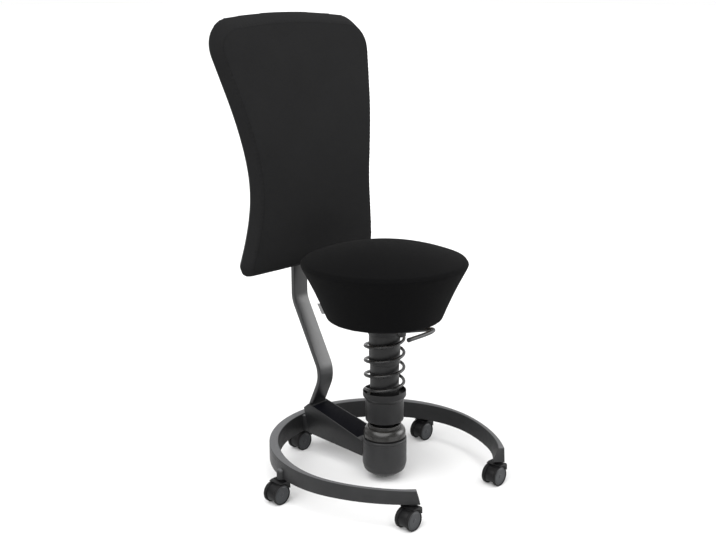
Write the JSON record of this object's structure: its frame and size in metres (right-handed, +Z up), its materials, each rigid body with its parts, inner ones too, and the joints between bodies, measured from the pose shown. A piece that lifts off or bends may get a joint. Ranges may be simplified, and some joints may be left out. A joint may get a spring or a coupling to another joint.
{
  "type": "spring balance stool with backrest",
  "caption": "Round padded stool on a leaning, height-adjustable column with a visible coil spring, held by an open castor ring that also carries a tall waisted backrest.",
  "frame": {"origin": "centre of the foot's flat underside, on the column's axis and 16 mm above the floor", "axes": "+Z up along the column; the sitter faces -Y; +X is the sitter's left"},
  "size_m": [0.5816, 0.5906, 1.123],
  "materials": {
    "dark_grey_powder_coat": "fine satin powder coat",
    "satin_grey_bar": "satin grey coat",
    "black_plastic": "matte",
    "gloss_black_plastic": "gloss",
    "blue_black_insert": "satin",
    "bright_steel": "zinc plated",
    "dark_spring_wire": "dark gloss coat on spring wire",
    "black_rubber": "matte",
    "black_fabric": "plain woven",
    "seat_board_wood": "bare plywood",
    "pale_tab": "bare woven tape"
  },
  "bodies": {
    "base": {"base_ring": "dark_grey_powder_coat", "support_arm": "dark_grey_powder_coat", "arm_cover": "blue_black_insert", "arm_bolt_left": "bright_steel", "arm_bolt_right": "bright_steel", "foot_cup": "black_plastic", "foot_yoke": "bright_steel", "tilt_buffer": "black_rubber", "backrest_bar": "satin_grey_bar", "back_mount": "black_plastic", "backrest_shell": "black_plastic", "backrest_cushion": "black_fabric", "back_bolt_upper": "bright_steel", "back_bolt_lower": "bright_steel", "front_left_castor_stem": "bright_steel", "front_right_castor_stem": "bright_steel", "side_left_castor_stem": "bright_steel", "side_right_castor_stem": "bright_steel", "rear_castor_stem": "bright_steel"},
    "stiffness_ring": {"side_stiffness_ring": "gloss_black_plastic"},
    "pivot": {"pivot_cross": "bright_steel"},
    "column": {"column_knuckle": "bright_steel", "column_tube": "black_plastic", "piston_rod": "bright_steel"},
    "lift": {"column_housing": "black_plastic", "guide_tube": "dark_grey_powder_coat", "gas_cylinder": "bright_steel", "spring_cup": "black_plastic", "main_spring": "dark_spring_wire"},
    "bounce": {"upper_sleeve": "dark_grey_powder_coat", "spring_collar": "black_plastic"},
    "seat": {"swivel_bearing": "bright_steel", "seat_plate": "bright_steel", "seat_board": "seat_board_wood", "seat_cushion": "black_fabric", "label_tab": "pale_tab", "lever_bracket": "black_plastic"},
    "lever": {"release_lever": "dark_spring_wire", "lever_tip": "black_rubber"},
    "front_left_castor": {"front_left_castor_hood": "black_plastic", "front_left_castor_axle": "bright_steel"},
    "front_left_wheel_near": {"front_left_castor_wheel_near": "black_rubber"},
    "front_left_wheel_far": {"front_left_castor_wheel_far": "black_rubber"},
    "front_right_castor": {"front_right_castor_hood": "black_plastic", "front_right_castor_axle": "bright_steel"},
    "front_right_wheel_near": {"front_right_castor_wheel_near": "black_rubber"},
    "front_right_wheel_far": {"front_right_castor_wheel_far": "black_rubber"},
    "side_left_castor": {"side_left_castor_hood": "black_plastic", "side_left_castor_axle": "bright_steel"},
    "side_left_wheel_near": {"side_left_castor_wheel_near": "black_rubber"},
    "side_left_wheel_far": {"side_left_castor_wheel_far": "black_rubber"},
    "side_right_castor": {"side_right_castor_hood": "black_plastic", "side_right_castor_axle": "bright_steel"},
    "side_right_wheel_near": {"side_right_castor_wheel_near": "black_rubber"},
    "side_right_wheel_far": {"side_right_castor_wheel_far": "black_rubber"},
    "rear_castor": {"rear_castor_hood": "black_plastic", "rear_castor_axle": "bright_steel"},
    "rear_wheel_near": {"rear_castor_wheel_near": "black_rubber"},
    "rear_wheel_far": {"rear_castor_wheel_far": "black_rubber"}
  },
  "joints": [
    {"name": "stiffness_turn", "type": "hinge", "parent": "base", "child": "stiffness_ring", "pos_m": [0, 0, 0.0905], "axis": [0, 0, 1], "range_deg": [0, 270]},
    {"name": "lean_forward", "type": "hinge", "parent": "base", "child": "pivot", "pos_m": [0, 0, 0.072], "axis": [1, 0, 0], "range_deg": [-1.5, 8], "stiffness_Nm_per_rad": 400},
    {"name": "lean_sideways", "type": "hinge", "parent": "pivot", "child": "column", "pos_m": [0, 0, 0.072], "axis": [0, 1, 0], "range_deg": [-8, 8], "stiffness_Nm_per_rad": 400},
    {"name": "height", "type": "slide", "parent": "column", "child": "lift", "axis": [0, 0, 1], "range_m": [0, 0.08]},
    {"name": "bounce", "type": "slide", "parent": "lift", "child": "bounce", "axis": [0, 0, 1], "range_m": [-0.05, 0], "stiffness_N_per_m": 10000, "springref_m": 0.02, "deforming": ["main_spring"]},
    {"name": "seat_swivel", "type": "hinge", "parent": "bounce", "child": "seat", "pos_m": [0, 0, 0.374], "axis": [0, 0, 1], "continuous": true},
    {"name": "lever_pull", "type": "hinge", "parent": "seat", "child": "lever", "pos_m": [0, -0.06, 0.37], "axis": [-1, 0, 0], "range_deg": [0, 6], "stiffness_Nm_per_rad": 4, "springref_deg": -6},
    {"name": "front_left_swivel", "type": "hinge", "parent": "base", "child": "front_left_castor", "pos_m": [0.16084, -0.22876, 0.0415], "axis": [0, 0, 1], "continuous": true},
    {"name": "front_left_roll_near", "type": "hinge", "parent": "front_left_castor", "child": "front_left_wheel_near", "pos_m": [0.14534, -0.22876, 0.0086], "axis": [0, 1, 0], "continuous": true},
    {"name": "front_left_roll_far", "type": "hinge", "parent": "front_left_castor", "child": "front_left_wheel_far", "pos_m": [0.14534, -0.22876, 0.0086], "axis": [0, 1, 0], "continuous": true},
    {"name": "front_right_swivel", "type": "hinge", "parent": "base", "child": "front_right_castor", "pos_m": [-0.16084, -0.22876, 0.0415], "axis": [0, 0, 1], "continuous": true},
    {"name": "front_right_roll_near", "type": "hinge", "parent": "front_right_castor", "child": "front_right_wheel_near", "pos_m": [-0.17634, -0.22876, 0.0086], "axis": [0, 1, 0], "continuous": true},
    {"name": "front_right_roll_far", "type": "hinge", "parent": "front_right_castor", "child": "front_right_wheel_far", "pos_m": [-0.17634, -0.22876, 0.0086], "axis": [0, 1, 0], "continuous": true},
    {"name": "side_left_swivel", "type": "hinge", "parent": "base", "child": "side_left_castor", "pos_m": [0.26476, 0.08965, 0.0415], "axis": [0, 0, 1], "continuous": true},
    {"name": "side_left_roll_near", "type": "hinge", "parent": "side_left_castor", "child": "side_left_wheel_near", "pos_m": [0.24926, 0.08965, 0.0086], "axis": [0, 1, 0], "continuous": true},
    {"name": "side_left_roll_far", "type": "hinge", "parent": "side_left_castor", "child": "side_left_wheel_far", "pos_m": [0.24926, 0.08965, 0.0086], "axis": [0, 1, 0], "continuous": true},
    {"name": "side_right_swivel", "type": "hinge", "parent": "base", "child": "side_right_castor", "pos_m": [-0.26476, 0.08965, 0.0415], "axis": [0, 0, 1], "continuous": true},
    {"name": "side_right_roll_near", "type": "hinge", "parent": "side_right_castor", "child": "side_right_wheel_near", "pos_m": [-0.28025, 0.08965, 0.0086], "axis": [0, 1, 0], "continuous": true},
    {"name": "side_right_roll_far", "type": "hinge", "parent": "side_right_castor", "child": "side_right_wheel_far", "pos_m": [-0.28025, 0.08965, 0.0086], "axis": [0, 1, 0], "continuous": true},
    {"name": "rear_swivel", "type": "hinge", "parent": "base", "child": "rear_castor", "pos_m": [0, 0.2852, 0.0415], "axis": [0, 0, 1], "continuous": true},
    {"name": "rear_roll_near", "type": "hinge", "parent": "rear_castor", "child": "rear_wheel_near", "pos_m": [-0.0155, 0.2852, 0.0086], "axis": [0, 1, 0], "continuous": true},
    {"name": "rear_roll_far", "type": "hinge", "parent": "rear_castor", "child": "rear_wheel_far", "pos_m": [-0.0155, 0.2852, 0.0086], "axis": [0, 1, 0], "continuous": true}
  ]
}
